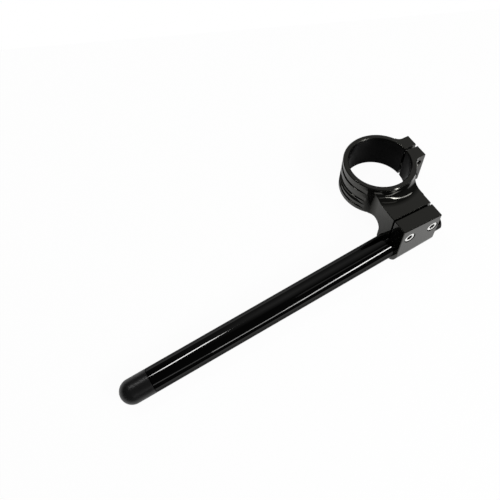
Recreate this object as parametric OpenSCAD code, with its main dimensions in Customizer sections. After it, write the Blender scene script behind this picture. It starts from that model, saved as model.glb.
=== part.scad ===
// Clip-on handlebar for a motorbike fork, one side of a mirrored pair.
// A split ring clamps the fork tube. A neck reaches forward from the ring to a
// second clamp, which is slit along its top and holds the bar. The bar droops
// outboard and carries a push-in rubber plug.
// X points outboard along the bar, Y from the fork tube towards the bar, and
// Z up the fork tube. The origin is the middle of the fork bore.

/* [Fork ring] */
// Diameter of the fork tube
fork_d = 55; // [48:0.5:56]
// Wall of the ring beside the bore
ring_wall = 4.75; // [4:0.25:6]
// Height of the ring along the fork tube
ring_h = 33; // [32:0.5:38]
// Chamfer at both mouths of the bore
bore_chamfer = 0.8; // [0.4:0.1:1.2]
// Chamfer round the outer edges of the ring
ring_chamfer = 0.6; // [0.3:0.1:1]
// Width of each turned groove
groove_w = 5; // [3:0.25:5.5]
// Depth of each turned groove
groove_depth = 0.8; // [0.4:0.1:1.2]
// Distance between the middles of neighbouring grooves
groove_pitch = 9.7; // [8:0.1:10]
// Angle at which the grooves run out beside the neck
groove_end_angle = 24; // [10:1:26]
// Angle at which the grooves run out beside the pinch lugs
groove_start_angle = 234; // [230:1:250]

/* [Pinch lugs] */
// Distance from the pinch screws to the outer ends of the lugs
lug_end = 6.2; // [6:0.1:10]
// Thickness of the two lugs and their slot together
lug_w = 25.4; // [24:0.2:27]
// Width of the slot that parts the ring
ring_slot_w = 2.4; // [1.5:0.1:3.5]
// Radius where a lug runs into the ring
lug_fillet_r = 6.5; // [4:0.5:8]
// Metal between the fork tube and the pinch screws
lug_screw_gap = 3.3; // [2.8:0.1:4.5]
// Distance from each face of the ring to the pinch screw beside it
lug_screw_edge = 8.2; // [6.6:0.1:9]
// Depth of the counterbores that the pinch screw heads sit in
lug_recess = 3.6; // [1:0.1:4]
// Chamfer at the mouths of the tapped holes in the lug
mouth_chamfer = 0.6; // [0.3:0.1:0.9]

/* [Neck and bar clamp] */
// Distance from the fork axis to the bar axis, seen from above
bar_offset = 52; // [50:0.5:58]
// Height of the bar axis below the middle of the ring, at the fork
bar_drop = 28.6; // [26:0.2:34]
// Angle by which the bar droops outboard
droop_angle = 8; // [4:0.5:10]
// Wall of the clamp round the bar
clamp_wall = 3.3; // [3:0.1:5]
// Distance from the fork axis to the inboard end of the clamp
clamp_inboard = 19.5; // [18.5:0.5:22]
// Distance from the fork axis to the outboard end of the clamp
clamp_outboard = 20; // [18:0.5:22]
// Step from the top of the ring down to the top of the clamp
clamp_step = 12.2; // [11:0.2:14]
// Width of the slit over the bar
clamp_slit_w = 2; // [1:0.1:3]
// Radius of the coves where the neck meets the ring and the clamp
cove_r = 9; // [6:0.5:9]
// Radius where the sides of the neck run into the ring
neck_fillet_r = 10; // [6:0.5:12]
// Chamfer along the straight edges of the clamp
edge_break = 0.5; // [0.3:0.1:1]
// Distance from the inboard end of the clamp to the screw beside it
clamp_screw_end_in = 6.7; // [6.2:0.1:8]
// Distance from the outboard end of the clamp to the screw beside it
clamp_screw_end_out = 8.8; // [6.2:0.1:10]
// Depth of the clamp screws below the top of the clamp
clamp_screw_depth = 13; // [10:0.2:13.2]
// Gap between the front of the clamp and the screw heads
head_recess = 0.4; // [0.2:0.1:1]

/* [Bar] */
// Outer diameter of the bar
bar_d = 22.2; // [22:0.1:25.4]
// Wall of the tube
bar_wall = 3; // [2:0.25:4]
// Length of the tube from the fork axis to its outer end
bar_out = 256; // [180:1:300]
// Length of the tube from the fork axis to its inner end
bar_in = 31; // [26:0.5:45]
// Chamfer at both ends of the tube
bar_chamfer = 0.5; // [0.3:0.1:0.8]

/* [End plug] */
// Length of the plug that shows beyond the tube
plug_len = 28; // [20:0.5:40]
// Length of the stem inside the tube
stem_len = 26; // [22:1:35]
// Height of each gripping rib on the stem
rib_h = 0.5; // [0.3:0.1:0.8]
// Distance between neighbouring ribs
rib_pitch = 6; // [5:0.5:7]

/* [Screws] */
// Thread diameter of all four screws
screw_d = 6; // [5:1:6]
// Diameter of the socket heads
head_d = 10; // [8.5:0.5:10]
// Height of the socket heads
head_h = 6; // [5:0.5:6]
// Width of the hexagon socket across its flats
hex_af = 5; // [4:0.5:5]
// Depth of the hexagon socket
hex_depth = 3; // [2:0.25:3.5]
// Radius of the counterbores for the screw heads
counterbore_r = 5.5; // [5.3:0.1:5.9]
// Length of each pinch screw under its head
lug_screw_len = 20; // [16:1:20]
// Length of each clamp screw under its head
clamp_screw_len = 25; // [20:1:25]

/* [Clearances] */
// Gap round the bar inside its clamp, measured on the radius
bar_fit = 0.05; // [0.02:0.01:0.1]
// Gap round a screw in its thread, measured on the radius
thread_fit = 0.05; // [0.02:0.01:0.1]
// Gap round a screw where it passes a lug freely
pass_fit = 0.3; // [0.2:0.1:0.5]
// Gap between the plug and the tube
plug_fit = 0.05; // [0.02:0.01:0.1]
// Gap under each screw head
seat_fit = 0.02; // [0.01:0.01:0.05]

/* [Hidden] */

$fn = 96;
screw_r = screw_d / 2;
fork_r = fork_d / 2;
ring_r = fork_r + ring_wall;
ring_top = ring_h / 2;
lug_screw_x = fork_r + lug_screw_gap + screw_r;
lug_screw_z = ring_top - lug_screw_edge;
lug_reach = lug_screw_x + lug_end;
lug_seat = lug_recess - lug_w / 2;
bar_r = bar_d / 2;
clamp_r = bar_r + clamp_wall;
clamp_top = ring_top - clamp_step;
clamp_back = bar_offset - clamp_r;
clamp_front = bar_offset + clamp_r;
clamp_span = clamp_inboard + clamp_outboard;
clamp_screw_in = clamp_inboard - clamp_screw_end_in;
clamp_screw_out = clamp_outboard - clamp_screw_end_out;
clamp_screw_z = clamp_top - clamp_screw_depth;
groove_count = 3;
groove_floor_r = ring_r - groove_depth;
groove_runout = sqrt(ring_r * ring_r - groove_floor_r * groove_floor_r) + groove_depth;
head_r = head_d / 2;
hex_r = hex_af / 2 / cos(30);
head_edge = 0.6;
tip_chamfer = 0.8;
hole_spare = 1.5;
rib_count = 3;
rib_foot = 2.6;
rib_land = 0.8;
flat_trim = 0.1;
// Longer than the block is anywhere, for cuts that run right through it
through = 2 * (ring_r + bar_offset + clamp_span);

// Height of the bar axis at a distance x outboard of the fork axis
function bar_z(x) = -bar_drop - x * tan(droop_angle);

// Centre of a fillet circle of radius r that touches the ring and a straight
// side standing at a distance s from an axis through the ring's middle
function fillet_reach(r, s) = sqrt(pow(ring_r + r, 2) - pow(s + r, 2));

// Moves what it holds onto the bar axis, with Z along the bar outboard
module on_bar() {
    translate([0, bar_offset, -bar_drop])
        rotate([0, 90 + droop_angle, 0])
            children();
}

// Turns what it holds so that its Z axis points along Y
module along_y() {
    rotate([-90, 0, 0])
        children();
}

// Concave corner between the ring and a straight side, drawn for a side at
// x = s that runs away along Y
module ring_fillet(r, s) {
    c = [s + r, fillet_reach(r, s)];
    touch = c * ring_r / (ring_r + r);
    difference() {
        polygon([[0, 0], touch, c, [0, c[1]]]);
        translate(c)
            circle(r);
    }
}

// The two lugs seen from above, before the slot parts them
module lug_outline() {
    translate([-lug_reach, -lug_w / 2])
        square([lug_reach, lug_w]);
    rotate(90)
        ring_fillet(lug_fillet_r, lug_w / 2);
    mirror([0, 1])
        rotate(90)
            ring_fillet(lug_fillet_r, lug_w / 2);
}

// The neck seen from above, from the ring to the middle of the bar clamp
module neck_outline() {
    translate([-clamp_inboard, 0])
        square([clamp_span, bar_offset]);
    ring_fillet(neck_fillet_r, clamp_outboard);
    mirror([1, 0])
        ring_fillet(neck_fillet_r, clamp_inboard);
}

// The turned ring with its chamfered outer edges
module ring_blank() {
    c = ring_chamfer;
    rotate_extrude()
        polygon([[0, -ring_top], [ring_r - c, -ring_top], [ring_r, -ring_top + c],
                 [ring_r, ring_top - c], [ring_r - c, ring_top], [0, ring_top]]);
}

// Hollow corner that joins the top of the neck to the wall of the ring
module top_cove() {
    intersection() {
        translate([0, 0, clamp_top - cove_r])
            linear_extrude(2 * cove_r)
                neck_outline();
        rotate_extrude()
            difference() {
                translate([0, clamp_top - cove_r / 2])
                    square([ring_r + cove_r, cove_r * 1.5]);
                translate([ring_r + cove_r, clamp_top + cove_r])
                    circle(cove_r);
            }
    }
}

// Side view of the neck and the bar clamp, looked at along X, with the hollow
// corner where the underside of the neck meets the back of the clamp
module neck_side() {
    low = -through / 2;
    corner = [clamp_back - cove_r, -ring_top - cove_r];
    translate([0, -ring_top])
        square([bar_offset, ring_h - clamp_step]);
    polygon([[clamp_back, low], [clamp_front, low], [clamp_front, clamp_top - edge_break],
             [clamp_front - edge_break, clamp_top], [clamp_back, clamp_top]]);
    difference() {
        polygon([corner, corner + [0, 2 * cove_r], corner + [2 * cove_r, 2 * cove_r],
                 corner + [2 * cove_r, 0]]);
        translate(corner)
            circle(cove_r);
    }
}

// What is milled away to leave the clamp round below the bar. The flats in
// front and behind stand a little inside the round.
module clamp_underside() {
    round_r = clamp_r + flat_trim;
    on_bar()
        linear_extrude(through, center = true)
            difference() {
                translate([0, -through / 2])
                    square(through);
                circle(round_r);
            }
}

// Point beside the groove's floor, at an angle round the ring, a distance along
// the tangent there and a distance outwards
function groove_point(angle, along, out) =
    let (r = groove_floor_r + out)
        [r * cos(angle) - along * sin(angle), r * sin(angle) + along * cos(angle)];

// One groove seen from above: it follows the ring and leaves it in a straight
// line at both ends, as the cutter does
module groove_outline() {
    middle = (groove_end_angle + groove_start_angle) / 2 + 180;
    difference() {
        polygon([[0, 0],
                 groove_point(groove_end_angle, 0, 0),
                 groove_point(groove_end_angle, groove_runout, 0),
                 groove_point(groove_end_angle, groove_runout, ring_r),
                 groove_point(middle, 0, ring_r),
                 groove_point(groove_start_angle, -groove_runout, ring_r),
                 groove_point(groove_start_angle, -groove_runout, 0),
                 groove_point(groove_start_angle, 0, 0)]);
        circle(groove_floor_r);
    }
}

// All the grooves, evenly spaced up the ring
module grooves() {
    for (i = [0:groove_count - 1])
        translate([0, 0, (i - (groove_count - 1) / 2) * groove_pitch - groove_w / 2])
            linear_extrude(groove_w)
                groove_outline();
}

// Bore for the fork tube, chamfered at both mouths
module fork_bore() {
    cylinder(r = fork_r, h = through, center = true);
    for (side = [0, 1])
        mirror([0, 0, side])
            translate([0, 0, ring_top - bore_chamfer])
                cylinder(r1 = fork_r, r2 = fork_r + 2 * bore_chamfer,
                         h = 2 * bore_chamfer);
}

// Slot that lets the lugs draw together
module ring_slot() {
    translate([-through, -ring_slot_w / 2, -through / 2])
        cube([through, ring_slot_w, through]);
}

// Holes through the lugs: counterbored and free behind, tapped beyond the slot
module lug_holes() {
    tapped_r = screw_r + thread_fit;
    c = mouth_chamfer;
    for (z = [-lug_screw_z, lug_screw_z])
        translate([-lug_screw_x, 0, z]) {
            translate([0, lug_seat - through, 0])
                along_y()
                    cylinder(r = counterbore_r, h = through);
            translate([0, -through, 0])
                along_y()
                    cylinder(r = screw_r + pass_fit, h = through);
            along_y()
                cylinder(r = tapped_r, h = through);
            translate([0, lug_w / 2 - 2 * c, 0])
                along_y()
                    cylinder(r1 = tapped_r - c, r2 = tapped_r + 2 * c, h = 3 * c);
        }
}

// Slit from the top of the clamp down to the bar
module clamp_slit() {
    translate([-through / 2, bar_offset - clamp_slit_w / 2, bar_z(0)])
        cube([through, clamp_slit_w, through]);
}

// Holes for the clamp screws: counterbored, free in front and tapped behind
module clamp_holes() {
    seat_y = clamp_front - head_recess - head_h;
    tip_y = seat_y - clamp_screw_len - hole_spare;
    for (x = [-clamp_screw_in, clamp_screw_out])
        translate([x, 0, clamp_screw_z]) {
            translate([0, seat_y, 0])
                along_y()
                    cylinder(r = counterbore_r, h = through);
            translate([0, bar_offset, 0])
                along_y()
                    cylinder(r = screw_r + pass_fit, h = clamp_r);
            translate([0, tip_y, 0])
                along_y()
                    cylinder(r = screw_r + thread_fit, h = bar_offset - tip_y);
        }
}

// Triangle that takes the corner off an outline, on the side that sx points to
module corner_cut(corner, sx) {
    e = edge_break;
    polygon([corner + [sx * e, -2 * e], corner + [-2 * sx * e, e], corner + [sx * e, e]]);
}

// Small chamfers along the top and the front edges at both ends of the clamp
module end_edge_breaks() {
    start_y = ring_r + cove_r;
    for (end = [[-clamp_inboard, -1], [clamp_outboard, 1]]) {
        translate([0, start_y + through, 0])
            rotate([90, 0, 0])
                linear_extrude(through)
                    corner_cut([end[0], clamp_top], end[1]);
        linear_extrude(through, center = true)
            corner_cut([end[0], clamp_front], end[1]);
    }
}

// The block as milled outside, before it is bored and slit
module bracket_blank() {
    difference() {
        union() {
            ring_blank();
            translate([0, 0, -ring_top])
                linear_extrude(ring_h)
                    lug_outline();
            translate([0, 0, -ring_top])
                linear_extrude(ring_h - clamp_step)
                    neck_outline();
            top_cove();
            translate([-clamp_inboard, 0, 0])
                rotate([90, 0, 90])
                    linear_extrude(clamp_span)
                        neck_side();
        }
        clamp_underside();
        end_edge_breaks();
    }
}

// Fork ring, lugs, neck and bar clamp, machined from one block
module bracket() {
    color([0.11, 0.11, 0.11])
        difference() {
            bracket_blank();
            fork_bore();
            ring_slot();
            grooves();
            lug_holes();
            on_bar()
                cylinder(r = bar_r + bar_fit, h = through, center = true);
            clamp_slit();
            clamp_holes();
        }
}

// Aluminium tube with chamfered ends
module bar_tube() {
    inner_r = bar_r - bar_wall;
    c = bar_chamfer;
    color([0.03, 0.03, 0.03])
        on_bar()
            rotate_extrude()
                polygon([[inner_r, -bar_in], [bar_r - c, -bar_in], [bar_r, -bar_in + c],
                         [bar_r, bar_out - c], [bar_r - c, bar_out], [inner_r, bar_out]]);
}

// Outline of the plug's stem, turned about the bar axis: each rib slopes
// towards the inner end so that it slides in and then grips
function stem_outline(r) = concat(
    [[0, bar_out - stem_len], [r, bar_out - stem_len]],
    [for (i = [rib_count:-1:1], p = [[0, -rib_foot], [rib_h, -rib_land], [rib_h, 0], [0, 0]])
        [r + p[0], bar_out - i * rib_pitch + p[1]]],
    [[r, bar_out + plug_fit], [bar_r, bar_out + plug_fit]],
    [[bar_r, bar_out + plug_len - bar_r], [0, bar_out + plug_len - bar_r]]);

// Rubber plug with a round nose and a ribbed stem that grips inside the tube
module end_plug() {
    color([0.06, 0.06, 0.06])
        on_bar() {
            rotate_extrude()
                polygon(stem_outline(bar_r - bar_wall - plug_fit - rib_h));
            translate([0, 0, bar_out + plug_len - bar_r])
                sphere(bar_r);
        }
}

// Blank of a socket head screw, pointing along Z with the seat of its head at 0
module screw_blank(length) {
    rotate_extrude()
        polygon([[0, -head_h], [head_r - head_edge, -head_h],
                 [head_r, -head_h + head_edge], [head_r, 0], [screw_r, 0],
                 [screw_r, length - tip_chamfer],
                 [screw_r - tip_chamfer, length], [0, length]]);
}

// The same screw with its hexagon socket cut
module hex_screw(length) {
    color([0.8, 0.8, 0.79])
        difference() {
            screw_blank(length);
            translate([0, 0, -2 * head_h])
                cylinder(r = hex_r, h = head_h + hex_depth, $fn = 6);
        }
}

// A pinch screw across the lugs at height z
module lug_screw(z) {
    translate([-lug_screw_x, lug_seat - seat_fit, z])
        along_y()
            hex_screw(lug_screw_len);
}

// A clamp screw over the bar at distance x from the fork axis
module clamp_screw(x) {
    translate([x, clamp_front - head_recess - head_h + seat_fit, clamp_screw_z])
        mirror([0, 1, 0])
            along_y()
                hex_screw(clamp_screw_len);
}

module fork_screw_upper() { lug_screw(lug_screw_z); }
module fork_screw_lower() { lug_screw(-lug_screw_z); }
module clamp_screw_inner() { clamp_screw(-clamp_screw_in); }
module clamp_screw_outer() { clamp_screw(clamp_screw_out); }

bracket();
bar_tube();
end_plug();
fork_screw_upper();
fork_screw_lower();
clamp_screw_inner();
clamp_screw_outer();
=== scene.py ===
# %% [markdown]
# # A clip-on handlebar, dressed for its photograph
#
# The solids of this handlebar come from its CAD model, already at their real
# size. This lesson gives them their finishes: black anodised aluminium on the
# milled block, a polished black tube, a moulded rubber plug and bright plated
# screws. It also makes what a solid model leaves out, such as the screws'
# threads and the knurling round their heads.
#
# We begin by loading the solids. They are a fixed frame: nothing here moves
# them or changes their size, and every piece that we add sits on them.

# %% Load the solids
import math

import bmesh
import bpy
from mathutils import Matrix, Vector


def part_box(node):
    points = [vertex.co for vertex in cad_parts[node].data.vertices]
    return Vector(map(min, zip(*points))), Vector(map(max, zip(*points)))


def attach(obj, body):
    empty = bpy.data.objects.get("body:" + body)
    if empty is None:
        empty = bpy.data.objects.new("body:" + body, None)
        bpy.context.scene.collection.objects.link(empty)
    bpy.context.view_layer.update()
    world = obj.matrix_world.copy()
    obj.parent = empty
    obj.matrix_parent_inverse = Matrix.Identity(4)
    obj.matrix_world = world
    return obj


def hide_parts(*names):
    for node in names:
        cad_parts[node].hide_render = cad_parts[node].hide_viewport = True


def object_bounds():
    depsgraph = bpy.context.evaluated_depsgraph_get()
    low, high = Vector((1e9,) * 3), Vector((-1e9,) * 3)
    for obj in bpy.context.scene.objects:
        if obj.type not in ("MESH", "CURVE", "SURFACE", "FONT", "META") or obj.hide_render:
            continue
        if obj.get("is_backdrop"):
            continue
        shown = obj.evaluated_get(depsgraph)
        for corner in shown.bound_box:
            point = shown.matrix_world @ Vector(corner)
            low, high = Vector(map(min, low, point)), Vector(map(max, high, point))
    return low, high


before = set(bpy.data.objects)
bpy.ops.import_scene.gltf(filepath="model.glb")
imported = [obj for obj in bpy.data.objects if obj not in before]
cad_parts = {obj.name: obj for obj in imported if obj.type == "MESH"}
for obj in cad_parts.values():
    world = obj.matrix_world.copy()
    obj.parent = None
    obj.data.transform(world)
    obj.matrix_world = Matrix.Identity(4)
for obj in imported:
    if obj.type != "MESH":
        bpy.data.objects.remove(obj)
MM = 0.001
CAD_LOW, CAD_HIGH = (Vector(corner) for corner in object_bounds())

# %% [markdown]
# ## Where things are
#
# The frame's origin is the middle of the fork bore. Z runs up the fork tube, Y
# points from the fork tube to the bar, and X points outboard. The bar droops
# outboard by a few degrees, so it has its own axis. We write that axis down
# once, because the lamps and the tube's finish both use it.

# %% The bar's axis
DROOP = math.radians(8)
BAR_START = Vector((0, 52, -28.6)) * MM
BAR_AXIS = Vector((math.cos(DROOP), 0, -math.sin(DROOP)))
BAR_OUT = 256


def on_bar(distance):
    """A point on the bar's axis, some millimetres outboard of the fork."""
    return BAR_START + BAR_AXIS * distance * MM


print("The bar's outer end is at", [round(v / MM, 1) for v in on_bar(BAR_OUT)], "mm")

# %% [markdown]
# ## The camera
#
# The photograph looks down on the handlebar from in front of the bar. Its
# place was worked out from shapes whose form is known: the two round rims of
# the ring and the straight sides of the bar. A camera is a position, a
# direction and a roll. The lens length follows from the field of view, which
# Blender measures against the width of its sensor.

# %% Set up the camera
CAMERA_PLACE = Vector((286.8, 268.3, 444.5)) * MM
CAMERA_AZIMUTH = math.radians(59.68)
CAMERA_HEIGHT = math.radians(56.64)
CAMERA_ROLL = math.radians(0.99)
FOCAL_PIXELS = 647.3
PHOTO_PIXELS = 500
SEEN_FROM, SEEN_TO = 10 * MM, 50


def look_matrix(azimuth, height, roll):
    """The turn of a camera that looks back along a direction, with a roll."""
    back = Vector((math.cos(azimuth) * math.cos(height),
                   math.sin(azimuth) * math.cos(height), math.sin(height)))
    right = Vector((0, 0, 1)).cross(back).normalized()
    up = back.cross(right)
    turned_right = right * math.cos(roll) + up * math.sin(roll)
    turned_up = back.cross(turned_right)
    return Matrix((turned_right, turned_up, back)).transposed()


lens_data = bpy.data.cameras.new("camera")
lens_data.lens = FOCAL_PIXELS / PHOTO_PIXELS * lens_data.sensor_width
lens_data.clip_start = SEEN_FROM
lens_data.clip_end = SEEN_TO
camera = bpy.data.objects.new("camera", lens_data)
camera.matrix_world = Matrix.Translation(CAMERA_PLACE) @ look_matrix(
    CAMERA_AZIMUTH, CAMERA_HEIGHT, CAMERA_ROLL).to_4x4()
bpy.context.scene.collection.objects.link(camera)
bpy.context.scene.camera = camera
print("Lens length is", round(lens_data.lens, 2), "mm")

# %% [markdown]
# ## Writing shader maths as plain sums
#
# Materials in Blender are graphs of nodes. Wiring each node by hand hides what
# the graph works out, so we wrap a node's output in a small class. Adding or
# multiplying two wrapped values then adds a Math node for us. Python's reflected
# forms, such as __rsub__, make 1 - mask work as well as mask - 1.

# %% A wrapper for sockets
class Value:
    """A number that varies over a surface: the output of a node."""

    def __init__(self, finish, socket):
        self.finish = finish
        self.socket = socket

    def maths(self, operation, first, second=0.0):
        return self.finish.add("ShaderNodeMath", {"operation": operation},
                               {0: first, 1: second})

    def __add__(self, other):
        return self.maths("ADD", self, other)

    def __radd__(self, other):
        return self.maths("ADD", other, self)

    def __sub__(self, other):
        return self.maths("SUBTRACT", self, other)

    def __rsub__(self, other):
        return self.maths("SUBTRACT", other, self)

    def __mul__(self, other):
        return self.maths("MULTIPLY", self, other)

    def __rmul__(self, other):
        return self.maths("MULTIPLY", other, self)

    def __pow__(self, power):
        return self.maths("POWER", self, power)

    def __rpow__(self, base):
        return self.maths("POWER", base, self)

    def below(self, limit):
        """1 where the value is under a limit, and 0 elsewhere."""
        return self.maths("LESS_THAN", self, limit)

    def wave(self):
        return self.maths("SINE", self)

    def size(self):
        return self.maths("ABSOLUTE", self)


print("Reflected sums:", [name for name in vars(Value) if name.startswith("__r")])

# %% [markdown]
# ## Adding any other node
#
# Everything that isn't a sum comes from one method. It takes the node's type,
# its settings, and what goes into its sockets, and gives back one output. The
# settings are set first, because they decide which sockets a node has. Colours
# go through a Mix node: a Math node would turn them grey.

# %% A maker of nodes
class Finish:
    """A material or world whose nodes are added one at a time."""

    def __init__(self, name, owner=None):
        self.owner = owner or bpy.data.materials.new(name)
        self.owner.use_nodes = True
        self.tree = self.owner.node_tree
        self.tree.nodes.clear()

    def add(self, kind, settings=None, inputs=None, output=0):
        """Adds a node, sets it up, joins its inputs and gives back one output."""
        node = self.tree.nodes.new(kind)
        for name, value in (settings or {}).items():
            setattr(node, name, value)
        for key, value in (inputs or {}).items():
            if isinstance(value, Value):
                self.tree.links.new(value.socket, node.inputs[key])
            else:
                node.inputs[key].default_value = value
        return Value(self, node.outputs[output]) if len(node.outputs) else None

    def tint(self, amount, dark, light):
        """A colour between two others."""
        return self.add("ShaderNodeMix", {"data_type": "RGBA"},
                        {"Factor": amount, "A": (*dark, 1), "B": (*light, 1)}, "Result")

    def covered_by(self, shader):
        """Makes a shader the surface and gives back the finished material."""
        self.add("ShaderNodeOutputMaterial", {}, {"Surface": shader})
        return self.owner


print("A finish offers", [name for name in vars(Finish) if not name.startswith("_")])

# %% [markdown]
# ## White paper
#
# The handlebar lies on a white sheet. For the camera the sheet is nearly pure
# white, like the page of a catalogue, and it keeps a faint shadow. Polished
# metal has to see a white sheet as well, or the handlebar would look as if it
# lay in the dark. Light Path tells us which ray is looking.
#
# Close under the handlebar a real sheet gets little light, and the metal
# mirrors that too. An Ambient Occlusion node measures how open the space over
# each point of the sheet is. Raising it to a power darkens what mirrors see
# where the handlebar stands close over the sheet, and that keeps the hollows of
# the block and the inside of the ring black. From below, the sheet lets the
# camera through.

# %% Make the paper
PAPER_GREY = (0.8, 0.8, 0.8, 1)
WHITE = (1, 1, 1, 1)
CAMERA_WHITE = 0.96
SHADE_REACH = 90 * MM
SHADE_POWER = 2.5
SHADE_SAMPLES = 8


def ray_kinds(finish):
    """Which ray looks: 1 for the camera's, and 1 for a mirror's or a glass's."""
    camera_ray = finish.add("ShaderNodeLightPath", {}, {}, "Is Camera Ray")
    glossy_ray = finish.add("ShaderNodeLightPath", {}, {}, "Is Glossy Ray")
    through_ray = finish.add("ShaderNodeLightPath", {}, {}, "Is Transmission Ray")
    return camera_ray, glossy_ray + through_ray


def white_paper():
    paper = Finish("white paper")
    matte = paper.add("ShaderNodeBsdfDiffuse", {}, {"Color": PAPER_GREY})
    glow = paper.add("ShaderNodeEmission", {}, {"Color": WHITE, "Strength": 1.0})
    camera_ray, mirror_ray = ray_kinds(paper)
    shade = paper.add("ShaderNodeAmbientOcclusion", {"samples": SHADE_SAMPLES},
                      {"Distance": SHADE_REACH}, "AO")
    share = camera_ray * CAMERA_WHITE + mirror_ray * shade ** SHADE_POWER
    front = paper.add("ShaderNodeMixShader", {}, {0: share, 1: matte, 2: glow})
    clear = paper.add("ShaderNodeBsdfTransparent")
    from_below = paper.add("ShaderNodeNewGeometry", {}, {}, "Backfacing")
    both = paper.add("ShaderNodeMixShader", {}, {0: from_below, 1: front, 2: clear})
    return paper.covered_by(both)


PAPER = white_paper()
print("The paper's shader has", len(PAPER.node_tree.nodes), "nodes")

# %% [markdown]
# ## Laying the sheet
#
# The handlebar rests on three points: the plug's nose, the outboard end of the
# clamp and the rim of the ring. The sheet is therefore tilted against the fork
# axis. Its up direction comes from those three points, and its height from the
# corner of the solids that lies lowest along that direction.
#
# The sheet is small on purpose. Black polished metal shows where a white sheet
# ends, and a dark room beyond it keeps the sides of the bar dark.

# %% Lay the sheet under the three resting points
FLOOR_UP = Vector((0.1189, 0.3010, 0.9462)).normalized()
SHEET_SIZE = (0.7, 0.48)
SHEET_GAP = 0.05 * MM


def lowest_along(direction):
    """How far down the solids reach against a direction."""
    return min(direction.dot(corner.co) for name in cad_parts
               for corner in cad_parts[name].data.vertices)


def sheet(name, size):
    """A flat sheet with its middle at the origin, facing up."""
    mesh = bpy.data.meshes.new(name)
    x, y = size[0] / 2, size[1] / 2
    corners = [(-x, -y, 0), (x, -y, 0), (x, y, 0), (-x, y, 0)]
    mesh.from_pydata(corners, [], [(0, 1, 2, 3)])
    flat = bpy.data.objects.new(name, mesh)
    bpy.context.scene.collection.objects.link(flat)
    return flat


FLOOR_HEIGHT = lowest_along(FLOOR_UP) - SHEET_GAP
MIDDLE = (CAD_LOW + CAD_HIGH) / 2
under_middle = MIDDLE + FLOOR_UP * (FLOOR_HEIGHT - FLOOR_UP.dot(MIDDLE))
floor = sheet("white_sheet", SHEET_SIZE)
floor.matrix_world = (Matrix.Translation(under_middle)
                      @ FLOOR_UP.to_track_quat("Z", "Y").to_matrix().to_4x4())
floor.data.materials.append(PAPER)
floor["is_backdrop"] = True
tilt = math.degrees(FLOOR_UP.angle(Vector((0, 0, 1))))
print("The sheet lies", round(-FLOOR_HEIGHT / MM, 1), "mm below the frame's origin,",
      "tilted", round(tilt, 1), "degrees")

# %% [markdown]
# ## The room
#
# A black, shiny object is drawn almost wholly by what it mirrors. The camera
# sees a white room. Mirrors see a dim one: nearly dark in front, behind the
# camera, and a soft grey band at the back, which gives the top faces and the
# upper side of the bar their even sheen. The band ends outboard of the
# handlebar and is fainter low down, so the sides stay darker than the tops.
#
# The world's shader gets the line of sight as a vector. Its dot product with a
# direction says how far it turns that way, and Map Range makes a soft edge
# from that number: each edge below says where the change starts and ends.

# %% Make the room
ROOM_FRONT = 0.05
ROOM_BACK = 0.42
ROOM_AMBIENT = 0.3
BACKWARDS, INBOARD = (0, -1, 0), (-1, 0, 0)
FRONT_EDGE = (-0.25, 0.38)
OUTBOARD_EDGE = (-0.14, 0.02)
LOW_EDGE = (0.45, 0.85)
LOW_FADE = 0.6


def room():
    world = bpy.data.worlds.new("studio")
    bpy.context.scene.world = world
    air = Finish("studio", world)
    sight = air.add("ShaderNodeTexCoord", {}, {}, "Generated")

    def rise(way, edge):
        """From 0 to 1 as the line of sight turns towards a way."""
        along = air.add("ShaderNodeVectorMath", {"operation": "DOT_PRODUCT"},
                        {0: sight, 1: way}, "Value")
        return air.add("ShaderNodeMapRange", {"clamp": True},
                       {"Value": along, "From Min": edge[0], "From Max": edge[1]})

    band = rise(BACKWARDS, FRONT_EDGE) * rise(INBOARD, OUTBOARD_EDGE)
    band = band * (1 - rise(BACKWARDS, LOW_EDGE) * LOW_FADE)
    sheen = ROOM_FRONT + band * (ROOM_BACK - ROOM_FRONT)
    camera_ray, mirror_ray = ray_kinds(air)
    other_ray = 1 - camera_ray - mirror_ray
    strength = camera_ray + mirror_ray * sheen + other_ray * ROOM_AMBIENT
    glow = air.add("ShaderNodeBackground", {}, {"Color": WHITE, "Strength": strength})
    air.add("ShaderNodeOutputWorld", {}, {"Surface": glow})


room()
print("Mirrors see a room of", ROOM_FRONT, "in front and", ROOM_BACK, "at the back")

# %% [markdown]
# ## The lamps
#
# Thin bright lines along the bar, in the hollow over the neck and round the
# rims all come from strip lights. A mirror shows a lamp where the angle in
# equals the angle out, so each strip's place was found by following the
# camera's line of sight off the metal and into the room. One strip bends round
# the front, brightest in its middle, and a second one hangs over the bar's
# outer end. A dim card adds a faint sheen, and a soft lamp that mirrors don't
# see gives plain light.
#
# Blender sets a lamp by its power. We would rather say how bright it looks, so
# the helper works the power out from that and the lamp's area.

# %% A helper for lamps
def lamp(name, place, aim, along, size, radiance, mirrored=True):
    """A rectangular lamp that faces a point, its long side along a direction."""
    width, length = size
    data = bpy.data.lights.new(name, "AREA")
    data.shape = "RECTANGLE"
    data.size = width
    data.size_y = length
    data.energy = radiance * math.pi * width * length
    light = bpy.data.objects.new(name, data)
    bpy.context.scene.collection.objects.link(light)
    back = (Vector(place) - Vector(aim)).normalized()
    side = Vector(along).cross(back).normalized()
    turn = Matrix((side, back.cross(side), back)).transposed()
    light.matrix_world = Matrix.Translation(Vector(place)) @ turn.to_4x4()
    light.visible_glossy = mirrored


def strip(name, corners, width, radiance, aim):
    """A strip light through a row of points, one straight lamp for each gap."""
    for start, end, bright in zip(corners, corners[1:], radiance):
        start, end = Vector(start), Vector(end)
        gap = end - start
        lamp(name, (start + end) / 2, aim, gap, (width, gap.length), bright)
    print(name, "runs through", len(corners), "points")


print("A lamp of radiance 1 gives", round(math.pi, 2), "watts for each square metre")

# %% [markdown]
# Now the lamps themselves. Corners are in metres from the frame's origin, and
# each gap between two corners has its own brightness.

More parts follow.
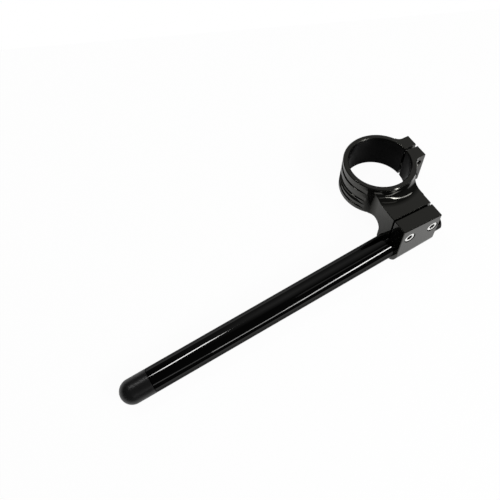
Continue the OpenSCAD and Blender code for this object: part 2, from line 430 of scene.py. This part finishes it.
# %% Hang the lamps
FRONT_CORNERS = [(-0.72, 0.37, 0.62), (-0.42, 0.73, 0.59), (-0.33, 0.802, 0.533),
                 (-0.222, 0.892, 0.466), (-0.12, 0.955, 0.345), (-0.015, 1.015, 0.215),
                 (0.20, 1.035, 0.187), (0.45, 0.89, 0.32)]
FRONT_RADIANCE = (9, 24, 36, 36, 18, 10, 1.5)
FRONT_WIDTH = 0.09
FRONT_AIM = (0.1, 0.04, -0.03)
BACK_CORNERS = [(0.272, -0.28, 0.89), (0.44, -0.17, 0.91)]
BACK_RADIANCE = (34,)
BACK_WIDTH = 0.10
BACK_AIM = on_bar(220)
CARD_PLACE, CARD_AIM = (-0.15, 0.5, 0.93), (0.09, 0.05, -0.04)
CARD_SIZE, CARD_RADIANCE = (0.16, 0.4), 0.5
SOFT_PLACE, SOFT_SIZE, SOFT_RADIANCE = FLOOR_UP * 1.5, (1.2, 1.2), 0.35
OUTBOARD = (1, 0, 0)

strip("front strip", FRONT_CORNERS, FRONT_WIDTH, FRONT_RADIANCE, FRONT_AIM)
strip("back strip", BACK_CORNERS, BACK_WIDTH, BACK_RADIANCE, BACK_AIM)
lamp("dim card", CARD_PLACE, CARD_AIM, OUTBOARD, CARD_SIZE, CARD_RADIANCE)
lamp("soft lamp", SOFT_PLACE, MIDDLE, OUTBOARD, SOFT_SIZE, SOFT_RADIANCE, mirrored=False)

# %% [markdown]
# ## Helpers that every finish shares
#
# A finish is more than a colour. Its dirt and wear come from noise, which needs
# a place on the object, and its grain comes from a bump, which only tilts the
# shading. The Bevel node rounds the shading at the edges in the same way,
# without touching the solid, because no machined edge is quite sharp.

# %% Places, noise and bumps
BEVEL_SAMPLES = 6


def place_on(finish):
    """The place on the object, in metres."""
    return finish.add("ShaderNodeTexCoord", {}, {}, "Object")


def split(finish, place):
    """The three numbers of a place."""
    return [finish.add("ShaderNodeSeparateXYZ", {}, {0: place}, axis) for axis in "XYZ"]


def noise(finish, place, scale, detail=2.0):
    """Soft random grey, about 0.5 on average, with scale features per metre."""
    return finish.add("ShaderNodeTexNoise", {},
                      {"Vector": place, "Scale": scale, "Detail": detail})


def bump(finish, height, depth, edge=None):
    """A normal that follows a height, where a height of 1 stands depth proud."""
    inputs = {"Height": height, "Distance": depth, "Strength": 1.0}
    if edge:
        inputs["Normal"] = finish.add("ShaderNodeBevel", {"samples": BEVEL_SAMPLES},
                                      {"Radius": edge})
    return finish.add("ShaderNodeBump", {}, inputs)


def dress(node, material):
    """Gives every slot of a CAD node the same material."""
    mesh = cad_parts[node].data
    if not mesh.materials:
        mesh.materials.append(material)
    for slot in range(len(mesh.materials)):
        mesh.materials[slot] = material
    print(node, "wears", material.name)


print("Bevels are found with", BEVEL_SAMPLES, "samples")

# %% [markdown]
# ## Black anodised aluminium
#
# The block is milled and turned, then anodised black. Up close it has faint
# rings where the lathe cut the bore and the outside of the ring, and a fine
# even grain everywhere else. We find the turned places by their distance from
# the fork axis.
#
# The bore gets a shader of its own, nearly black and with a low index of
# refraction: painted shade for the hollow inside the ring. A Mix Shader
# chooses between the two. The rim round the bore is a little duller than the
# faces beside it, where the tool broke its edge.

# %% Finish the block
BORE_R, BORE_BAND = 27.5 * MM, 0.3 * MM
RING_R, RING_BAND = 32.25 * MM, 0.9 * MM
RIM_R, RIM_BAND = 27.9 * MM, 0.6 * MM
TOOL_PITCH = 0.4 * MM
TOOL_DEPTH = 0.0012 * MM
BLOCK_EDGE = 0.35 * MM
GRAIN_SCALE, PATCH_SCALE = 2600, 45
BLOCK_DARK, BLOCK_LIGHT = (0.0022, 0.0022, 0.002), (0.0036, 0.0036, 0.0033)
BLOCK_SHEEN = (1, 0.99, 0.9, 1)
# The bore's nearly black colour is painted shade for the hollow of the ring.
BORE_PAINTED_SHADE = (0.001, 0.001, 0.001, 1)


def anodised_block():
    skin = Finish("black anodised block")
    place = place_on(skin)
    x, y, z = split(skin, place)
    distance = (x * x + y * y) ** 0.5
    bore = (distance - BORE_R).size().below(BORE_BAND)
    outside = (distance - RING_R).size().below(RING_BAND)
    rim = (distance - RIM_R).size().below(RIM_BAND) * (1 - bore)
    turned = bore + outside
    rings = (z * (2 * math.pi / TOOL_PITCH)).wave() * 0.5 + 0.5
    grain = noise(skin, place, GRAIN_SCALE)
    height = grain * (1 - turned * 0.6) + rings * turned * 0.35
    patches = noise(skin, place, PATCH_SCALE, 4.0)
    normal = bump(skin, height, TOOL_DEPTH, BLOCK_EDGE)
    shiny = skin.add("ShaderNodeBsdfPrincipled", {}, {
        "Base Color": skin.tint(patches, BLOCK_DARK, BLOCK_LIGHT),
        "Roughness": 0.06 + patches * 0.05 + outside * 0.02 + rim * 0.12,
        "IOR": 1.5, "Specular Tint": BLOCK_SHEEN, "Normal": normal})
    # The bore's own shader, nearly black with a low index of refraction: painted shade.
    dark = skin.add("ShaderNodeBsdfPrincipled", {}, {
        "Base Color": BORE_PAINTED_SHADE, "Roughness": 0.2, "IOR": 1.15, "Normal": normal})
    return skin.covered_by(
        skin.add("ShaderNodeMixShader", {}, {0: bore, 1: shiny, 2: dark}))


dress("bracket", anodised_block())

# %% [markdown]
# ## The polished tube
#
# The bar is drawn tube, polished before it is anodised, so it mirrors the
# strips as crisp lines. Drawing leaves very faint lines along its length, and
# handling leaves it a little less shiny here and there. Noise whose place is
# squeezed along the bar comes out stretched along it, and gives the lines.

# %% Finish the tube
TUBE_DARK, TUBE_LIGHT = (0.028, 0.028, 0.028), (0.034, 0.034, 0.033)
TUBE_TINT = (0.45, 0.45, 0.45, 1)
DRAWN_SCALE, DRAWN_STRETCH, DRAWN_DEPTH = 1800, 0.02, 0.0003 * MM
HAZE_SCALE = 30
TUBE_EDGE = 0.25 * MM


def polished_tube():
    skin = Finish("polished black tube")
    place = place_on(skin)
    x, y, z = split(skin, place)
    along = x * BAR_AXIS.x + z * BAR_AXIS.z
    drawn_place = skin.add("ShaderNodeCombineXYZ", {},
                           {"X": along * DRAWN_STRETCH, "Y": y, "Z": z})
    drawn = noise(skin, drawn_place, DRAWN_SCALE)
    haze = noise(skin, place, HAZE_SCALE, 5.0)
    return skin.covered_by(skin.add("ShaderNodeBsdfPrincipled", {}, {
        "Base Color": skin.tint(haze, TUBE_DARK, TUBE_LIGHT), "Metallic": 1.0,
        "Roughness": 0.04 + haze * 0.04, "Specular Tint": TUBE_TINT,
        "Normal": bump(skin, drawn, DRAWN_DEPTH, TUBE_EDGE)}))


dress("bar_tube", polished_tube())

# %% [markdown]
# ## The rubber plug
#
# Moulded rubber is slightly grainy, and it scatters light so softly that its
# highlight is only a paler patch. More roughness than the metal has, and a fine
# grain in the normal, do most of the work.

# %% Finish the plug
RUBBER_DARK, RUBBER_LIGHT = (0.0048, 0.0048, 0.0049), (0.0076, 0.0076, 0.0077)
PORE_SCALE, PORE_DEPTH = 3200, 0.008 * MM
CLOUD_SCALE = 60


def moulded_rubber():
    skin = Finish("moulded rubber")
    place = place_on(skin)
    pores = noise(skin, place, PORE_SCALE, 3.0)
    cloud = noise(skin, place, CLOUD_SCALE, 4.0)
    return skin.covered_by(skin.add("ShaderNodeBsdfPrincipled", {}, {
        "Base Color": skin.tint(cloud, RUBBER_DARK, RUBBER_LIGHT),
        "Roughness": 0.28 + cloud * 0.08, "IOR": 1.33,
        "Normal": bump(skin, pores, PORE_DEPTH)}))


dress("end_plug", moulded_rubber())

# %% [markdown]
# ## Plated screws
#
# The four screws are steel with a bright zinc coat, the only pale metal on the
# part. The solid model shows them as plain turned pieces. A real socket head
# screw has a knurled head for the fingers, a socket with a countersunk mouth
# and a rolled thread, so we make those in mesh code and let the new screws
# stand in for the plain ones.
#
# A turned shape is a row of rings. Each ring has a height and a rule for its
# radius at each angle, so the same helper makes the round face, the knurled
# side and the hexagon. Sizes are in millimetres here.

# %% Rules for the radius of a ring
SIDES = 192
TEETH = 48
TOOTH_SHARPNESS = 1.5


def round_ring(radius):
    return lambda angle: radius


def knurl_ring(radius, depth):
    """Small teeth round the head, with rounded tips."""
    return lambda angle: (
        radius - depth * abs(math.sin(angle * TEETH / 2)) ** TOOTH_SHARPNESS)


def hex_ring(flat):
    """A hexagon, given by the distance from its middle to a flat."""
    sixth = math.pi / 3
    return lambda angle: flat / math.cos((angle % sixth) - sixth / 2)


def turn_shape(mesh, rings):
    """Joins rings of points, each a height and a rule, into one closed skin."""
    rows = []
    for height, rule in rings:
        row = []
        for i in range(SIDES):
            angle = 2 * math.pi * i / SIDES
            r = rule(angle)
            row.append(mesh.verts.new((r * math.cos(angle), r * math.sin(angle), height)))
        rows.append(row)
    for low, high in zip(rows, rows[1:]):
        for i in range(SIDES):
            j = (i + 1) % SIDES
            mesh.faces.new((low[i], low[j], high[j], high[i]))
    for row, height in ((rows[0], rings[0][0]), (rows[-1], rings[-1][0])):
        tip = mesh.verts.new((0, 0, height))
        for i in range(SIDES):
            mesh.faces.new((row[i], row[(i + 1) % SIDES], tip))


print("Each ring of a screw has", SIDES, "points and the head has", TEETH, "teeth")

# %% [markdown]
# ### Head and shank
#
# The head is drawn from the bottom of its socket, out over the face, down the
# knurled side and in along the shank to the tip. Height 0 is the seat of the
# head, and the face lies a head's height below it.

# %% Turn the head and the shank
HEAD_R, HEAD_H, SHANK_R = 5.0, 6.0, 3.0
HEX_FLAT, HEX_DEPTH = 2.5, 3.0
MOUTH_DEPTH = 0.2
SIDE_R = HEAD_R - 0.12
KNURL_DEPTH = 0.22
CORE_R = SHANK_R - 0.55


def head_and_shank(mesh, length):
    face = -HEAD_H
    socket = [(face + HEX_DEPTH + 0.7, round_ring(0.3)),
              (face + HEX_DEPTH, round_ring(2.2)),
              (face + HEX_DEPTH, hex_ring(HEX_FLAT - 0.05)),
              (face + 0.45, hex_ring(HEX_FLAT)),
              (face + MOUTH_DEPTH, hex_ring(HEX_FLAT + 0.03)),
              (face + 0.03, round_ring(2.94)),
              (face, round_ring(2.98))]
    rounded_edge = [(face, round_ring(HEAD_R - 0.75)),
                    (face + 0.06, round_ring(HEAD_R - 0.5)),
                    (face + 0.22, round_ring(HEAD_R - 0.25)),
                    (face + 0.55, round_ring(SIDE_R))]
    side = [(face + 0.85, knurl_ring(HEAD_R, KNURL_DEPTH)),
            (-0.9, knurl_ring(HEAD_R, KNURL_DEPTH)),
            (-0.6, round_ring(SIDE_R)),
            (-0.1, round_ring(SIDE_R)),
            (0, round_ring(HEAD_R - 0.2))]
    shank = [(0, round_ring(SHANK_R + 0.02)),
             (0.35, round_ring(CORE_R)),
             (length - 0.8, round_ring(CORE_R)),
             (length, round_ring(SHANK_R - 1.0))]
    turn_shape(mesh, socket + rounded_edge + side + shank)


print("The head is", 2 * HEAD_R, "mm wide and its socket", 2 * HEX_FLAT, "mm across flats")

# %% [markdown]
# ### Thread
#
# The thread is a ridge with sloping sides that winds along the shank and fades
# out at both ends. Its section has four corners: two at the foot, just inside
# the core so that no gap shows, and two at the crest.

# %% Wind the thread
PITCH = 1.0
THREAD_START, THREAD_SHORT = 0.8, 1.4
THREAD_STEPS = 32
RIDGE_HEIGHT = 0.6
FOOT_R, FOOT_HALF, CREST_HALF = SHANK_R - 0.62, 0.46, 0.07
LEAST_RISE = 0.02


def thread(mesh, length):
    turns = (length - THREAD_SHORT) / PITCH
    rows = []
    for i in range(int(turns * THREAD_STEPS) + 1):
        turn = i / THREAD_STEPS
        rise = max(LEAST_RISE, min(1, turn, turns - turn))
        crest = SHANK_R - RIDGE_HEIGHT + RIDGE_HEIGHT * rise
        angle = 2 * math.pi * turn
        middle = THREAD_START + turn * PITCH
        section = [(FOOT_R, -FOOT_HALF), (crest, -CREST_HALF),
                   (crest, CREST_HALF), (FOOT_R, FOOT_HALF)]
        rows.append([
            mesh.verts.new((r * math.cos(angle), r * math.sin(angle), middle + z))
            for r, z in section])
    for low, high in zip(rows, rows[1:]):
        for a in range(4):
            b = (a + 1) % 4
            mesh.faces.new((low[a], low[b], high[b], high[a]))
    mesh.faces.new(rows[0])
    mesh.faces.new(rows[-1][::-1])


print("The thread rises", PITCH, "mm a turn, in", THREAD_STEPS, "steps")

# %% [markdown]
# ### One screw
#
# Both shapes go into one mesh, which is then scaled to metres and turned into
# place. Faces inside the socket get the second material. Faces that look along
# the screw stay flat, and the round sides are shaded smooth.

# %% Put a screw together
HEX_CORNER = HEX_FLAT / math.cos(math.pi / 6)
SOCKET_REACH = 4
FLAT_LIMIT = 0.5


def in_socket(middle):
    """Whether the middle of a face lies inside the hexagon."""
    return (middle.xy.length < HEX_CORNER + 0.02
            and -HEAD_H + MOUTH_DEPTH < middle.z < -HEAD_H + SOCKET_REACH)


def make_screw(name, length, matrix, outside, socket):
    mesh = bmesh.new()
    head_and_shank(mesh, length)
    thread(mesh, length)
    bmesh.ops.recalc_face_normals(mesh, faces=mesh.faces)
    for face in mesh.faces:
        face.material_index = int(in_socket(face.calc_center_median()))
        face.smooth = abs(face.normal.z) < FLAT_LIMIT
    bmesh.ops.scale(mesh, vec=(MM, MM, MM), verts=mesh.verts)
    bmesh.ops.transform(mesh, matrix=matrix, verts=mesh.verts)
    data = bpy.data.meshes.new(name)
    mesh.to_mesh(data)
    mesh.free()
    data.materials.append(outside)
    data.materials.append(socket)
    screw = bpy.data.objects.new(name, data)
    bpy.context.scene.collection.objects.link(screw)
    print(name, "has", sum(len(f.vertices) - 2 for f in data.polygons), "triangles")
    return screw


print("The socket's corners lie", round(HEX_CORNER, 2), "mm from its middle")

# %% [markdown]
# ## The plating
#
# Zinc plating is bright but not a mirror: it has fine scratches from the barrel
# that the screws were plated in, and its colour is a little uneven. Roughness
# and a shallow bump give the scratches. The walls of the socket get a second
# steel, dark and dull: its dark colour is painted shade for the socket's hollow.

# %% Mix the two steels
PLATED_DARK, PLATED_LIGHT = (0.90, 0.90, 0.88), (0.98, 0.98, 0.96)
SCRATCH_SCALE, SCRATCH_DEPTH = 1500, 0.003 * MM
PLATING_SCALE = 300
# The socket steel's dark colours are painted shade for the hollow of the socket.
SOCKET_SHADE_DARK, SOCKET_SHADE_LIGHT = (0.02, 0.02, 0.02), (0.06, 0.058, 0.055)
STAIN_SCALE, STAIN_DEPTH = 1200, 0.01 * MM


def plated_steel():
    skin = Finish("bright plated steel")
    place = place_on(skin)
    scratches = noise(skin, place, SCRATCH_SCALE, 5.0)
    uneven = noise(skin, place, PLATING_SCALE, 3.0)
    return skin.covered_by(skin.add("ShaderNodeBsdfPrincipled", {}, {
        "Base Color": skin.tint(uneven, PLATED_DARK, PLATED_LIGHT), "Metallic": 1.0,
        "Roughness": 0.34 + scratches * 0.14,
        "Normal": bump(skin, scratches, SCRATCH_DEPTH)}))


# The socket's steel: dark colours that paint the shade inside the hollow.
def socket_painted_shade():
    skin = Finish("socket steel with painted shade")
    stain = noise(skin, place_on(skin), STAIN_SCALE, 4.0)
    return skin.covered_by(skin.add("ShaderNodeBsdfPrincipled", {}, {
        "Base Color": skin.tint(stain, SOCKET_SHADE_DARK, SOCKET_SHADE_LIGHT), "Metallic": 1.0,
        "Roughness": 0.4 + stain * 0.2,
        "Normal": bump(skin, stain, STAIN_DEPTH)}))


PLATED, SOCKET_SHADE = plated_steel(), socket_painted_shade()
print("Screws wear", PLATED.name, "outside and", SOCKET_SHADE.name, "inside")

# %% [markdown]
# ## Setting the screws
#
# Each new screw takes its place and length from the plain one that it stands
# in for. The two pinch screws in the lugs point along Y, and the two clamp
# screws over the bar point against it.

# %% Set the four screws
SCREW_WAYS = {"fork_screw_upper": 1, "fork_screw_lower": 1,
              "clamp_screw_inner": -1, "clamp_screw_outer": -1}


def screw_frame(node, way):
    """Turns a screw's own Z along Y, its head's seat where the solid's is."""
    low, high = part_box(node)
    middle = (Vector(low) + Vector(high)) / 2
    face = low[1] if way > 0 else high[1]
    seat = Vector((middle.x, face + way * HEAD_H * MM, middle.z))
    turn = Matrix.Rotation(-way * math.pi / 2, 4, "X")
    return Matrix.Translation(seat) @ turn, (high[1] - low[1]) / MM - HEAD_H


for node, way in SCREW_WAYS.items():
    matrix, length = screw_frame(node, way)
    screw = make_screw(node + "_detailed", length, matrix, PLATED, SOCKET_SHADE)
    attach(screw, "root")
    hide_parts(node)

# %% [markdown]
# ## The view transform
#
# The dressed handlebar has to keep the size of its solids. Colours are shown
# with the Standard view transform.

# %% Set the view transform
bpy.context.scene.view_settings.view_transform = "Standard"
